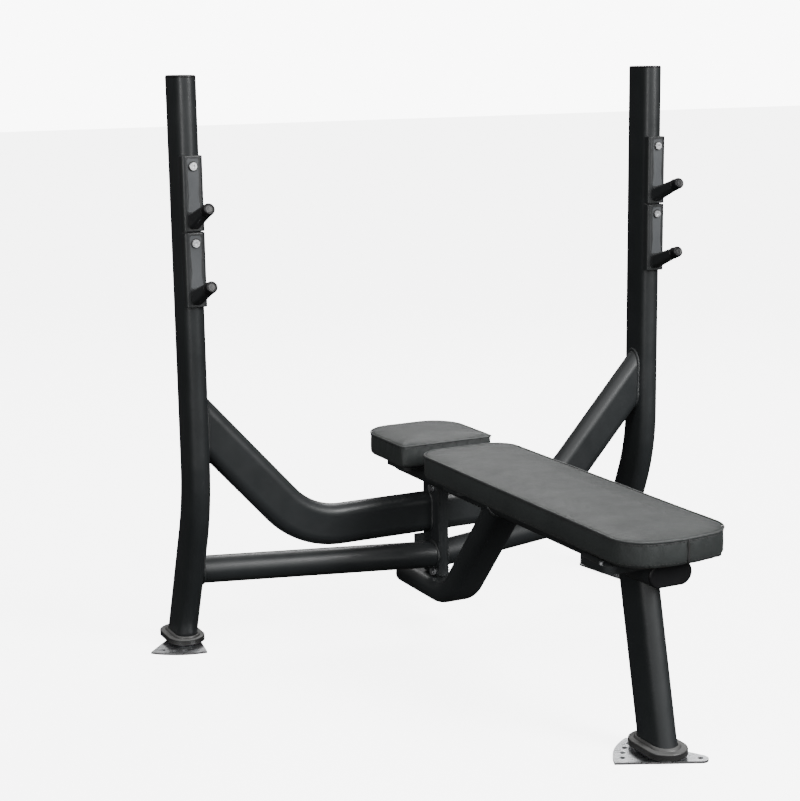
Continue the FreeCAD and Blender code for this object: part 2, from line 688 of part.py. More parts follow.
PADS = {
    "main_pad": {"corners": [(-125, -1034), (0, -1057), (125, -1034), (120.5, -149), (-120.5, -149)],
                 "radii": [70, 300, 70, 58, 58], "plates": ["front_pad_plate", "rear_pad_plate"]},
    "head_pad": {"corners": [(-121.5, -84), (121.5, -84), (122, 153), (-122, 153)],
                 "radii": [8, 8, 80, 80], "plates": ["head_pad_plate"]},
}
BOARD_INSET = 16.0


def inset_corners(corners):
    """The same outline drawn in towards its centre by about the board's inset."""
    front = min(y for x, y in corners)
    rear = max(y for x, y in corners)
    half_width = max(x for x, y in corners)
    shrink_x = 1 - BOARD_INSET / half_width
    shrink_y = 1 - 2 * BOARD_INSET / (rear - front)
    middle = (front + rear) / 2
    return [(x * shrink_x, middle + (y - middle) * shrink_y) for x, y in corners]


for node, plan in PADS.items():
    body = new_body(node)
    outline = new_sketch(body, "XY_Plane", P["board_z"] + P["board_thick"])
    add_edges(outline, rounded_path(plan["corners"], plan["radii"], closed=True))
    pad(body, outline, P["pad_thick"], "Params.pad_thick")
    fillet(body, 9.0, level_edge(P["board_z"] + P["board_thick"] + P["pad_thick"]))
    finish(node, body)
    board = new_body(node + "_board")
    outline = new_sketch(board, "XY_Plane", P["board_z"], "Params.board_z")
    radii = [max(radius - BOARD_INSET, 6.0) for radius in plan["radii"]]
    add_edges(outline, rounded_path(inset_corners(plan["corners"]), radii, closed=True))
    pad(board, outline, P["board_thick"], "Params.board_thick")
    holes = new_sketch(board, "XY_Plane", P["board_z"])
    for plate in plan["plates"]:
        bolt_holes(holes, sum(PLATES[plate][:2]) / 2, PAD_BOLT_RADIUS + 0.1)
    pocket(board, holes, P["board_thick"] - 0.9, reverse=True)
    finish(node + "_board", board)


# ---------------------------------------------------------------- bar hooks on the uprights

HOOK_OUTER = 24.5
HOOK_BACK_Y = -38.0
TUBE_GAP = 0.3
ARM_RISE = 16.8
ARM_ROOT = {"centre": (-53.0, 20.75), "size": (26.0, 35.5), "corner": 7.0, "turn": 0.0}
ARM_END = {"centre": (-132.0, 49.8), "size": (24.0, 24.0), "corner": 7.0, "turn": ARM_RISE}
CHANNEL_DEPTH = 3.0
CHANNEL_SIDE = [(14.5, 43), (10.5, 78), (12.5, 122), (12.5, 158)]
CHANNEL = [(-x, z) for x, z in CHANNEL_SIDE] + CHANNEL_SIDE[::-1]


def channel_outline(sketch, grow):
    """Waisted outline of the hook's front channel, made larger by grow on every side."""
    points = [(x + math.copysign(grow, x), z + (grow if z > 100 else -grow if z < 50 else 0))
              for x, z in CHANNEL]
    add_edges(sketch, rounded_path(points, [4, 60, 60, 5, 5, 60, 60, 4], closed=True))


def arm_section(body, section):
    """Rounded section of the arm; turned about X so that it stands square to the arm."""
    sketch = new_sketch(body, "XZ_Plane")
    y, z = section["centre"]
    turn = FreeCAD.Rotation(V(1, 0, 0), -section["turn"])
    sketch.AttachmentOffset = FreeCAD.Placement(V(0, z, -y), turn)
    half_w, half_h = (size / 2 for size in section["size"])
    corners = [(-half_w, -half_h), (half_w, -half_h), (half_w, half_h), (-half_w, half_h)]
    add_edges(sketch, rounded_path(corners, [section["corner"]] * 4, closed=True))
    return sketch


def hook_casting(label):
    """Saddle round the tube's nose, with a front channel and a rising arm for the bar."""
    body = new_body(label)
    saddle = new_sketch(body, "XY_Plane")
    front = P["hook_front_y"]
    bore = HALF_SHORT + TUBE_GAP
    nose_y = -(P["tube_long"] - P["tube_short"]) / 2
    edge_x = math.sqrt(bore ** 2 - (HOOK_BACK_Y - nose_y) ** 2)
    outer = [(-HOOK_OUTER, HOOK_BACK_Y), (-HOOK_OUTER, front), (HOOK_OUTER, front), (HOOK_OUTER, HOOK_BACK_Y)]
    add_edges(saddle, rounded_path(outer, [9.0, 9.0]))
    add_edges(saddle, [
        Part.LineSegment(V(HOOK_OUTER, HOOK_BACK_Y, 0), V(edge_x, HOOK_BACK_Y, 0)),
        Part.Arc(V(edge_x, HOOK_BACK_Y, 0), V(0, nose_y - bore, 0), V(-edge_x, HOOK_BACK_Y, 0)),
        Part.LineSegment(V(-edge_x, HOOK_BACK_Y, 0), V(-HOOK_OUTER, HOOK_BACK_Y, 0)),
    ])
    pad(body, saddle, P["hook_height"], "Params.hook_height")
    top_front = level_edge(P["hook_height"])
    low_front = level_edge(0.0)
    fillet(body, 1.8, lambda edge: edge.BoundBox.YMax < front + 0.1 and (top_front(edge) or low_front(edge)))
    channel = new_sketch(body, "XZ_Plane", -front)
    channel_outline(channel, TUBE_GAP)
    pocket(body, channel, CHANNEL_DEPTH)
    drill = new_sketch(body, "XZ_Plane", -front)
    drill.addGeometry(Part.Circle(V(0, P["hook_screw_rise"], 0), Z_AXIS, SCREW_RADIUS), False)
    pocket(body, drill, 20)
    arm = body.newObject("PartDesign::AdditiveLoft", label + "_arm")
    arm.Profile = arm_section(body, ARM_ROOT)
    arm.Sections = [arm_section(body, ARM_END)]
    return body


def hook_guard(label):
    """Plastic insert in the hook's channel, where the bar slides down."""
    body = new_body(label)
    outline = new_sketch(body, "XZ_Plane", -P["hook_front_y"] - CHANNEL_DEPTH + 0.1)
    channel_outline(outline, 0.0)
    pad(body, outline, CHANNEL_DEPTH + 0.4)
    drill = new_sketch(body, "XZ_Plane", 80)
    drill.addGeometry(Part.Circle(V(0, P["hook_screw_rise"], 0), Z_AXIS, SCREW_RADIUS), False)
    pocket(body, drill, 30)
    return body


def hook_knob(label, x, base_z):
    """Rounded end cap pushed on the end of a hook arm."""
    rise = math.radians(ARM_RISE)
    along = V(0, -math.cos(rise), math.sin(rise))
    body = new_body(label)
    outline = new_sketch(body, "XY_Plane")
    add_circle(outline, "knob", P["knob_dia"], "Params.knob_dia")
    pad(body, outline, P["knob_length"], "Params.knob_length")
    fillet(body, 6.0, level_edge(P["knob_length"]))
    fillet(body, 2.5, level_edge(0.0))
    start = V(x, ARM_END["centre"][0], base_z + ARM_END["centre"][1])
    body.Placement = FreeCAD.Placement(start, FreeCAD.Rotation(Z_AXIS, along))
    return body


knobs, screws, rings = [], [], []
for side, sign in SIDES.items():
    x = sign * P["upright_x"]
    for level in ("upper", "lower"):
        base_z = P[level + "_hook_z"]
        name = "%s_%s_hook" % (side, level)
        casting = hook_casting(name)
        casting.Placement.Base = V(x, 0, base_z)
        finish(name, casting)
        guard = hook_guard(name + "_guard")
        guard.Placement.Base = V(x, 0, base_z)
        finish(name + "_guard", guard)
        knobs.append(hook_knob(name + "_knob", x, base_z))
        face_y = P["hook_front_y"] - 0.6
        screw_z = base_z + P["hook_screw_rise"]
        ring_disc = rod(name + "_ring_disc", (x, face_y, screw_z), (0, -1, 0), 11.0, 1.2)
        ring_eye = rod(name + "_ring_eye", (x, face_y + 1, screw_z), (0, -1, 0), SCREW_RADIUS, 4)
        rings.append(cut(name + "_ring", ring_disc, ring_eye))
        head = rod(name + "_screw_head", (x, face_y - 1.2, screw_z), (0, -1, 0), 8.5, 3.6)
        socket = hexagon(name + "_socket", (x, face_y - 2.2, screw_z), (0, -1, 0), 6.5, 4)
        shank = rod(name + "_screw_shank", (x, face_y - 1.2, screw_z), (0, 1, 0), SCREW_RADIUS, 24)
        screws.append(cut(name + "_screw", fuse(name + "_screw_blank", head, shank), socket))
finish("hook_knobs", group("hook_knobs", knobs))
finish("hook_screws", group("hook_screws", screws))
finish("hook_screw_rings", group("hook_screw_rings", rings))


# ---------------------------------------------------------------- checks and output

doc.recompute()
for item in doc.Objects:
    if "Invalid" in item.State or "Error" in item.State:
        raise RuntimeError("feature failed: %s %s" % (item.Label, item.State))
for node, piece in NODES.items():
    shape = piece.Shape
    if shape.isNull() or not shape.isValid() or shape.Volume <= 0:
        raise RuntimeError("bad shape: " + node)

os.makedirs("parts", exist_ok=True)
whole = FreeCAD.BoundBox()
for node, piece in NODES.items():
    piece.Shape.exportStep("parts/%s.step" % node)
    whole.add(piece.Shape.BoundBox)
    print("%-28s solids %d  volume %.0f" % (node, len(piece.Shape.Solids), piece.Shape.Volume))
print("nodes", len(NODES), "box", whole)
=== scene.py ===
import json
import math

import bpy
import numpy as np
from mathutils import Matrix, Vector


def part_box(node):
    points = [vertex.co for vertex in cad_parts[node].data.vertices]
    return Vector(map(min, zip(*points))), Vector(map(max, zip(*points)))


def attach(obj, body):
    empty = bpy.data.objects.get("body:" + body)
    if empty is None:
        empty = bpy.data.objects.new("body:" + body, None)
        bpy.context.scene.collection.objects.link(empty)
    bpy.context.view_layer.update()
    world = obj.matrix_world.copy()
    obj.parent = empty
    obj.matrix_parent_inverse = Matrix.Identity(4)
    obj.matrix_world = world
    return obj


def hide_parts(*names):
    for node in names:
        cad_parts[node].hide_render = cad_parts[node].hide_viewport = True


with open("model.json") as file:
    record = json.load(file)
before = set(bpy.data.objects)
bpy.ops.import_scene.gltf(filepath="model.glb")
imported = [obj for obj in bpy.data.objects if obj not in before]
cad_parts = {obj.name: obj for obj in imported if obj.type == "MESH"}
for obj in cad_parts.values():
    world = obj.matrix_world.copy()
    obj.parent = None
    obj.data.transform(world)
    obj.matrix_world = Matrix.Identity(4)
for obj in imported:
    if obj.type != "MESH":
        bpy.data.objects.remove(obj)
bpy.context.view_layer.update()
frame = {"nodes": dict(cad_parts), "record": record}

# Olympic bench press: the tubes, plates, hooks and feet are the CAD nodes with their finishes.
# New here: the sewn pads with welts and stitches, the weld beads, the hook arms' end caps and
# the lips of the foot collars. Lengths in metres; X across, +Y to the head end, Z up.

NODES = frame["nodes"]
ACROSS = (1.0, 0.0, 0.0)
UPWARD = (0.0, 0.0, 1.0)
FULL_TURN = 2 * math.pi


def node_middle(node):
    low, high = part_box(node)
    return (np.array(low) + np.array(high)) / 2


def around(count):
    """Evenly spaced angles of one full turn."""
    return np.linspace(0, FULL_TURN, count, endpoint=False)


def link_object(name, data):
    """A new object, linked to the scene."""
    made = bpy.data.objects.new(name, data)
    bpy.context.scene.collection.objects.link(made)
    return made


# ---------------------------------------------------------------- shader helpers

def join(tree, kind, inputs=None, **settings):
    """Adds one shader node; each input is a constant or the socket that feeds it."""
    made = tree.nodes.new(kind)
    for name, value in settings.items():
        setattr(made, name, value)
    for name, value in (inputs or {}).items():
        if isinstance(value, bpy.types.NodeSocket):
            tree.links.new(value, made.inputs[name])
        else:
            made.inputs[name].default_value = value
    return made


def effect_group(name, inputs, output):
    """An empty shader group with float inputs {name: default} and one float output."""
    group = bpy.data.node_groups.new(name, "ShaderNodeTree")
    for label, default in inputs.items():
        socket = group.interface.new_socket(label, in_out="INPUT", socket_type="NodeSocketFloat")
        socket.default_value = default
    group.interface.new_socket(output, in_out="OUTPUT", socket_type="NodeSocketFloat")
    return group, join(group, "NodeGroupInput"), join(group, "NodeGroupOutput")


def ranged(tree, value, low, high, to_low=0.0, to_high=1.0):
    """The value carried from low..high to the new range, held at its ends."""
    return join(tree, "ShaderNodeMapRange", {"Value": value, "From Min": low, "From Max": high,
                                             "To Min": to_low, "To Max": to_high}).outputs[0]


def multiplied(tree, a, b):
    return join(tree, "ShaderNodeMath", {0: a, 1: b}, operation="MULTIPLY").outputs[0]


def noise(tree, place, scale, detail, **more):
    """Noise factor at the place; the scale is a number or a socket."""
    inputs = {"Vector": place, "Scale": scale, "Detail": detail, **more}
    return join(tree, "ShaderNodeTexNoise", inputs).outputs["Fac"]


def object_place(tree):
    return join(tree, "ShaderNodeTexCoord").outputs["Object"]


def added(tree, a, b):
    return join(tree, "ShaderNodeMath", {0: a, 1: b}, operation="ADD").outputs[0]


def make_edge_rub():
    """Mask of worn edges: how far the rounded normal leans away from the true one, broken by noise."""
    group, inside, out = effect_group("edge_rub", {"Radius": 0.002, "Patchiness": 60.0}, "Mask")
    bevel = join(group, "ShaderNodeBevel", {"Radius": inside.outputs["Radius"]}, samples=4)
    true = join(group, "ShaderNodeNewGeometry")
    dot = join(group, "ShaderNodeVectorMath", {0: bevel.outputs[0], 1: true.outputs["Normal"]},
               operation="DOT_PRODUCT")
    lean = ranged(group, dot.outputs["Value"], 0.97, 0.75)
    speckle = noise(group, object_place(group), inside.outputs["Patchiness"], 3.0)
    patch = ranged(group, speckle, 0.35, 0.6)
    group.links.new(multiplied(group, lean, patch), out.inputs["Mask"])
    return group


def make_dust_and_sheen():
    """Mask of fine dust and of a painted sheen from the sky: faces that look up, broken by soft noise.
    """
    group, inside, out = effect_group("settled_dust_and_sheen", {"Amount": 0.5}, "Mask")
    true = join(group, "ShaderNodeNewGeometry")
    split = join(group, "ShaderNodeSeparateXYZ", {"Vector": true.outputs["Normal"]})
    up = ranged(group, split.outputs["Z"], 0.35, 0.95)
    cloud = ranged(group, noise(group, object_place(group), 14.0, 6.0), 0.3, 0.7, 0.35, 1.0)
    both = multiplied(group, up, cloud)
    group.links.new(multiplied(group, both, inside.outputs["Amount"]), out.inputs["Mask"])
    return group


def make_grain():
    """Height of a fine surface grain: two sizes of noise added."""
    group, inside, out = effect_group("surface_grain", {"Scale": 900.0, "Coarse": 0.3}, "Height")
    place = object_place(group)
    fine = noise(group, place, inside.outputs["Scale"], 2.0)
    wide = noise(group, place, multiplied(group, inside.outputs["Scale"], 0.12), 3.0)
    coarse = multiplied(group, wide, inside.outputs["Coarse"])
    group.links.new(added(group, fine, coarse), out.inputs["Height"])
    return group


def make_blotch():
    """Slow change of tone over a piece."""
    group, inside, out = effect_group("slow_blotch", {"Scale": 7.0}, "Factor")
    cloud = noise(group, object_place(group), inside.outputs["Scale"], 5.0, Roughness=0.6)
    group.links.new(ranged(group, cloud, 0.3, 0.7), out.inputs["Factor"])
    return group


def make_leather():
    """Height of embossed vinyl: warped pebbles between fine creases, over a broad swell."""
    group, inside, out = effect_group("pebbled_vinyl", {"Scale": 520.0}, "Height")
    place = object_place(group)
    warp = join(group, "ShaderNodeTexNoise", {"Vector": place, "Scale": 180.0, "Detail": 2.0})
    shift = join(group, "ShaderNodeVectorMath", {0: warp.outputs["Color"], "Scale": 0.0022},
                 operation="SCALE")
    moved = join(group, "ShaderNodeVectorMath", {0: place, 1: shift.outputs[0]}, operation="ADD")
    cells = join(group, "ShaderNodeTexVoronoi",
                 {"Vector": moved.outputs[0], "Scale": inside.outputs["Scale"]},
                 feature="DISTANCE_TO_EDGE")
    pebble = ranged(group, cells.outputs["Distance"], 0.0, 0.22)
    wide = multiplied(group, noise(group, place, 45.0, 4.0), 0.8)
    group.links.new(added(group, pebble, wide), out.inputs["Height"])
    return group


EDGE_RUB = make_edge_rub()
DUST_AND_SHEEN = make_dust_and_sheen()
GRAIN = make_grain()
BLOTCH = make_blotch()
LEATHER = make_leather()


def effect(tree, group, **inputs):
    """The effect group placed in a material with its own values."""
    made = tree.nodes.new("ShaderNodeGroup")
    made.node_tree = group
    for name, value in inputs.items():
        made.inputs[name.capitalize()].default_value = value
    return made.outputs[0]


def bumpy(tree, shader, height, strength, distance):
    bump = join(tree, "ShaderNodeBump", {"Height": height, "Strength": strength, "Distance": distance})
    tree.links.new(bump.outputs[0], shader.inputs["Normal"])


# sockets of the Mix node when it mixes colours
MIX_FACTOR, MIX_FROM, MIX_TO, MIX_OUT = 0, 6, 7, 2


def mixed(tree, factor, a, b):
    """Colour a going over to colour b by the factor."""
    mix = tree.nodes.new("ShaderNodeMix")
    mix.data_type = "RGBA"
    for index, value in ((MIX_FACTOR, factor), (MIX_FROM, a), (MIX_TO, b)):
        if isinstance(value, bpy.types.NodeSocket):
            tree.links.new(value, mix.inputs[index])
        else:
            mix.inputs[index].default_value = value if index == MIX_FACTOR else (*value, 1.0)
    return mix.outputs[MIX_OUT]


def finish_on(name, **fixed):
    """A new material and its Principled shader, with the constants set on its own sockets."""
    material = bpy.data.materials.new(name)
    material.use_nodes = True
    shader = material.node_tree.nodes["Principled BSDF"]
    for label, value in fixed.items():
        shader.inputs[label.replace("_", " ")].default_value = value
    return material, material.node_tree, shader


# grey laid on faces that look up: dust, and where the amount is high a painted sheen of the sky
DUST_AND_SHEEN_COLOUR = (0.20, 0.20, 0.195)
PAINT_RUB_RADIUS = 0.0018


def coated(name, dark, light, rub, rough, grain_scale, bump, distance, dust_and_sheen_amount, rub_share=0.5,
           **fixed):
    """Painted or moulded finish: two tones in slow blotches, rubbed edges, grey on faces that look up
    that is dust and, where the amount is high, a painted sky sheen, fine grain.
    """
    material, tree, shader = finish_on(name, **fixed)
    tone = mixed(tree, effect(tree, BLOTCH, scale=6.0), dark, light)
    edge = multiplied(tree, effect(tree, EDGE_RUB, radius=PAINT_RUB_RADIUS), rub_share)
    worn = mixed(tree, edge, tone, rub)
    # lighter grey on faces that look up: dust, plus a painted sky sheen where the amount is high
    dust_and_sheen = effect(tree, DUST_AND_SHEEN, amount=dust_and_sheen_amount)
    tree.links.new(mixed(tree, dust_and_sheen, worn, DUST_AND_SHEEN_COLOUR), shader.inputs["Base Color"])
    spread = ranged(tree, effect(tree, BLOTCH, scale=22.0), 0.0, 1.0, rough - 0.05, rough + 0.06)
    tree.links.new(added(tree, spread, multiplied(tree, dust_and_sheen, 0.5)), shader.inputs["Roughness"])
    bumpy(tree, shader, effect(tree, GRAIN, scale=grain_scale), bump, distance)
    return material


def zinc_finish(name, rough):
    """Bright zinc plate: pale metal, cloudy passivation, short brush lines, dull rubbed edges."""
    material, tree, shader = finish_on(name, Metallic=1.0)
    tone = mixed(tree, effect(tree, BLOTCH, scale=40.0), (0.66, 0.67, 0.69), (0.90, 0.91, 0.93))
    edge = multiplied(tree, effect(tree, EDGE_RUB, radius=0.0012, patchiness=220.0), 0.6)
    tree.links.new(mixed(tree, edge, tone, (0.30, 0.30, 0.30)), shader.inputs["Base Color"])
    stretch = join(tree, "ShaderNodeMapping",
                   {"Vector": object_place(tree), "Scale": (60.0, 900.0, 900.0)})
    lines = noise(tree, stretch.outputs[0], 1.0, 3.0)
    tree.links.new(ranged(tree, lines, 0.3, 0.7, rough - 0.08, rough + 0.12),
                   shader.inputs["Roughness"])
    bumpy(tree, shader, lines, 0.15, 0.0002)
    return material


def vinyl_finish(name, dark, light, rough):
    """Upholstery vinyl: pebbled grain, painted shade in its creases, a soft sheen, dust and a painted
    greenish sheen on faces that look up, uneven shine.
    """
    material, tree, shader = finish_on(name, Specular_IOR_Level=0.28, Sheen_Weight=0.03,
                                       Sheen_Roughness=0.45)
    height = effect(tree, LEATHER)
    tone = mixed(tree, effect(tree, BLOTCH, scale=9.0), dark, light)
    # painted shade: the grain's creases darkened towards 45 % of the dark tone
    crease_shade = ranged(tree, height, 0.2, 0.8, 0.55, 0.0)
    shaded_creases = mixed(tree, crease_shade, tone, tuple(0.45 * part for part in dark))
    # faces that look up turn greenish grey: a painted sheen of the lit top, with a little dust
    dust_and_sheen = effect(tree, DUST_AND_SHEEN, amount=0.08)
    tree.links.new(mixed(tree, dust_and_sheen, shaded_creases, (0.16, 0.17, 0.16)), shader.inputs["Base Color"])
    spread = ranged(tree, effect(tree, BLOTCH, scale=16.0), 0.0, 1.0, rough - 0.06, rough + 0.08)
    tree.links.new(spread, shader.inputs["Roughness"])
    bumpy(tree, shader, height, 0.38, 0.0006)
    return material


def plywood_finish(name):
    """Stained plywood: thin plies along Z with long grain along Y."""
    material, tree, shader = finish_on(name)
    place = object_place(tree)
    plies = join(tree, "ShaderNodeTexWave", {"Vector": place, "Scale": 105.0, "Distortion": 1.2,
                                             "Detail": 2.0},
                 wave_type="BANDS", bands_direction="Z")
    stretch = join(tree, "ShaderNodeMapping", {"Vector": place, "Scale": (260.0, 14.0, 260.0)})
    fibre = noise(tree, stretch.outputs[0], 1.0, 6.0)
    tone = mixed(tree, plies.outputs["Fac"], (0.030, 0.024, 0.018), (0.095, 0.072, 0.050))
    grain = ranged(tree, fibre, 0.35, 0.7)
    tree.links.new(mixed(tree, multiplied(tree, grain, 0.6), tone, (0.02, 0.016, 0.012)),
                   shader.inputs["Base Color"])
    tree.links.new(ranged(tree, fibre, 0.3, 0.7, 0.55, 0.8), shader.inputs["Roughness"])
    bumpy(tree, shader, fibre, 0.3, 0.0004)
    return material


FINISHES = {
    "frame_paint": coated("satin_powder_coat", (0.0125, 0.0140, 0.0148), (0.0175, 0.0195, 0.0205),
                          (0.07, 0.073, 0.075), 0.36, 1100.0, 0.16, 0.0004, dust_and_sheen_amount=0.05,
                          rub_share=0.4, Specular_IOR_Level=0.42),
    "hook_casting": coated("painted_casting", (0.013, 0.0142, 0.0150), (0.020, 0.0215, 0.0225),
                           (0.11, 0.11, 0.115), 0.34, 520.0, 0.42, 0.0006, dust_and_sheen_amount=0.05,
                           Specular_IOR_Level=0.45),
    "bar_guard": coated("worn_insert_plastic", (0.045, 0.048, 0.051), (0.070, 0.074, 0.078),
                        (0.12, 0.12, 0.125), 0.40, 800.0, 0.25, 0.0004, dust_and_sheen_amount=0.05,
                        Specular_IOR_Level=0.3),
    "cap_plastic": coated("moulded_cap_plastic", (0.005, 0.005, 0.0055), (0.009, 0.009, 0.010),
                          (0.05, 0.05, 0.05), 0.36, 1500.0, 0.25, 0.0003, dust_and_sheen_amount=0.08,
                          Specular_IOR_Level=0.25),
    # on the collars the grey on faces that look up is mostly a painted reflection of the sky, with a
    # little dust
    "foot_collar": coated("moulded_rubber", (0.014, 0.014, 0.014), (0.022, 0.022, 0.022),
                          (0.14, 0.14, 0.14), 0.36, 700.0, 0.25, 0.0004, dust_and_sheen_amount=0.55,
                          Specular_IOR_Level=0.4),
    "seal_rubber": coated("ring_rubber", (0.006, 0.006, 0.006), (0.012, 0.012, 0.012),
                          (0.04, 0.04, 0.04), 0.6, 900.0, 0.3, 0.0003, dust_and_sheen_amount=0.1),
    "zinc": zinc_finish("bright_zinc", 0.30),
    "pad_board": plywood_finish("stained_plywood"),
    "pad_vinyl": vinyl_finish("black_vinyl", (0.0190, 0.0216, 0.0213), (0.0265, 0.0300, 0.0293), 0.45),
}
WELT_VINYL = vinyl_finish("welt_vinyl", (0.040, 0.043, 0.043), (0.062, 0.066, 0.066), 0.34)
THREAD = coated("bonded_thread", (0.006, 0.006, 0.006), (0.014, 0.014, 0.014), (0.05, 0.05, 0.05),
                0.6, 3000.0, 0.6, 0.0003, dust_and_sheen_amount=0.05)

for part in frame["record"]["subparts"]:
    mesh = NODES[part["node"]].data
    mesh.materials.clear()
    mesh.materials.append(FINISHES[part["material_slot"]])


# ---------------------------------------------------------------- surface helpers

def grid_faces(rows, columns, wrap_rows):
    """Quads of a grid whose columns close on themselves, and whose rows close if asked."""
    last = rows if wrap_rows else rows - 1
    i, j = np.meshgrid(np.arange(last), np.arange(columns), indexing="ij")
    a = i * columns + j
    b = i * columns + (j + 1) % columns
    c = (i + 1) % rows * columns + (j + 1) % columns
    d = (i + 1) % rows * columns + j
    return np.stack([a, b, c, d], -1).reshape(-1, 4)


def add_surface(name, grids, material, wrap_rows=False):
    """One object of closed grids, each (rows, columns, 3); open ends get a pole; faces look outward."""
    points, faces, count = [], [], 0
    for grid in grids:
        rows, columns = grid.shape[:2]
        flat = grid.reshape(-1, 3)
        quads = grid_faces(rows, columns, wrap_rows)
        here = np.arange(columns)
        beside = (here + 1) % columns
        extra = []
        if not wrap_rows:
            first, last = len(flat), len(flat) + 1
            flat = np.vstack([flat, grid[0].mean(0), grid[-1].mean(0)])
            top = (rows - 1) * columns
            extra = [np.stack([np.full(columns, first), beside, here], -1),
                     np.stack([np.full(columns, last), top + here, top + beside], -1)]
        centre = flat.mean(0)
        corner = flat[quads] - centre
        volume = np.einsum("ij,ij->i", corner[:, 0], np.cross(corner[:, 1], corner[:, 2])).sum()
        volume += np.einsum("ij,ij->i", corner[:, 0], np.cross(corner[:, 2], corner[:, 3])).sum()
        for block in [quads, *extra]:
            turned = block if volume > 0 else block[:, ::-1]
            faces += (turned + count).tolist()
        points.append(flat)
        count += len(flat)
    mesh = bpy.data.meshes.new(name)
    mesh.from_pydata(np.vstack(points).tolist(), [], faces)
    mesh.shade_smooth()
    mesh.materials.append(material)
    piece = link_object(name, mesh)
    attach(piece, "frame")
    return piece


def closed_frames(path, up):
    """Tangent, outward side and up of every point of a closed path."""
    along = np.roll(path, -1, 0) - np.roll(path, 1, 0)
    along /= np.linalg.norm(along, axis=1, keepdims=True)
    side = np.cross(along, np.broadcast_to(up, path.shape))
    side /= np.linalg.norm(side, axis=1, keepdims=True)
    return along, side, np.cross(side, along)


def tube_round(path, radius, up, columns=10):
    """Tube along a closed path: path + radius (cos side + sin up); radius may change along it."""
    side, top = closed_frames(path, up)[1:]
    turn = around(columns)
    radius = np.broadcast_to(radius, (len(path),))[:, None, None]
    return (path[:, None] + radius * (np.cos(turn)[None, :, None] * side[:, None]
                                      + np.sin(turn)[None, :, None] * top[:, None]))


def even_loop(points, count):
    """The closed polyline resampled at equal steps of its length."""
    closed = np.vstack([points, points[:1]])
    run = np.concatenate([[0], np.cumsum(np.linalg.norm(np.diff(closed, axis=0), axis=1))])
    steps = np.linspace(0, run[-1], count, endpoint=False)
    return np.stack([np.interp(steps, run, closed[:, k]) for k in range(closed.shape[1])], -1)


def flat_oval(half_long, half_short, count=240):
    """Outline of the flat-oval tube: two half circles joined by straight sides, long way second."""
    turn = around(2000)
    straight = (half_long - half_short) * np.sign(np.sin(turn))
    points = np.stack([half_short * np.cos(turn), half_short * np.sin(turn) + straight], -1)
    return even_loop(points, count)


# ---------------------------------------------------------------- weld beads

UPRIGHT_X = (node_middle("left_upright")[0], node_middle("right_upright")[0])
UPRIGHT_Y = node_middle("left_upright_cap")[1]
TUBE_SHORT = 0.025
TUBE_LONG = 0.050
# a leg leans by REAR_LEAN or FRONT_LEAN per metre of height; a level cut through it is longer than
# the tube by REAR_CUT or FRONT_CUT
REAR_LEAN = 0.3971
FRONT_LEAN = 0.2232
LEG_FLOOR_Y = -0.9659
REAR_CUT = 1.076
FRONT_CUT = 1.025
CROSS_Z = 0.2783
CROSS_BEND_X = 0.338
CROSS_SLANT = math.radians(48.2)
LOW_CROSS_RADIUS = (0.0328, 0.0327)
LOW_CROSS_MIDDLE = (-0.026, 0.1735)
LOW_CROSS_RUN = (0.097, 0.0221)
LOW_CROSS_AT_FLANGE = (-0.0239, 0.174)
FLANGE_X = 0.0134
SPINE_PLACE = (-0.123, 0.096)
SPINE_SLOPE = 1.17
RIPPLE_PITCH = 0.0032
BEAD_STEP = 0.0008
OFF_WALL = 0.0004
UNDER_RAIL = 0.0006


def bead(path, up, seed, radius=0.0034):
    """Weld bead: a tube along the path whose radius swells in a rectified sine, one per ripple."""
    length = np.linalg.norm(np.roll(path, -1, 0) - path, axis=1).sum()
    path = even_loop(path, max(160, int(length / BEAD_STEP)))
    step = np.arange(len(path)) / len(path)
    ripple = np.abs(np.sin(math.pi * step * round(length / RIPPLE_PITCH)))
    drift = (np.sin(FULL_TURN * (3 * step + 0.13 * seed))
             + np.sin(FULL_TURN * (7 * step + 0.31 * seed)))
    return tube_round(path, radius * (0.84 + 0.2 * ripple + 0.06 * drift), up, 8)


def side_loop(x, y, z, oval):
    """An outline (across Y, along Z) standing in the plane of that X."""
    return np.stack([np.full(len(oval), x), y + oval[:, 0], z + oval[:, 1]], -1)


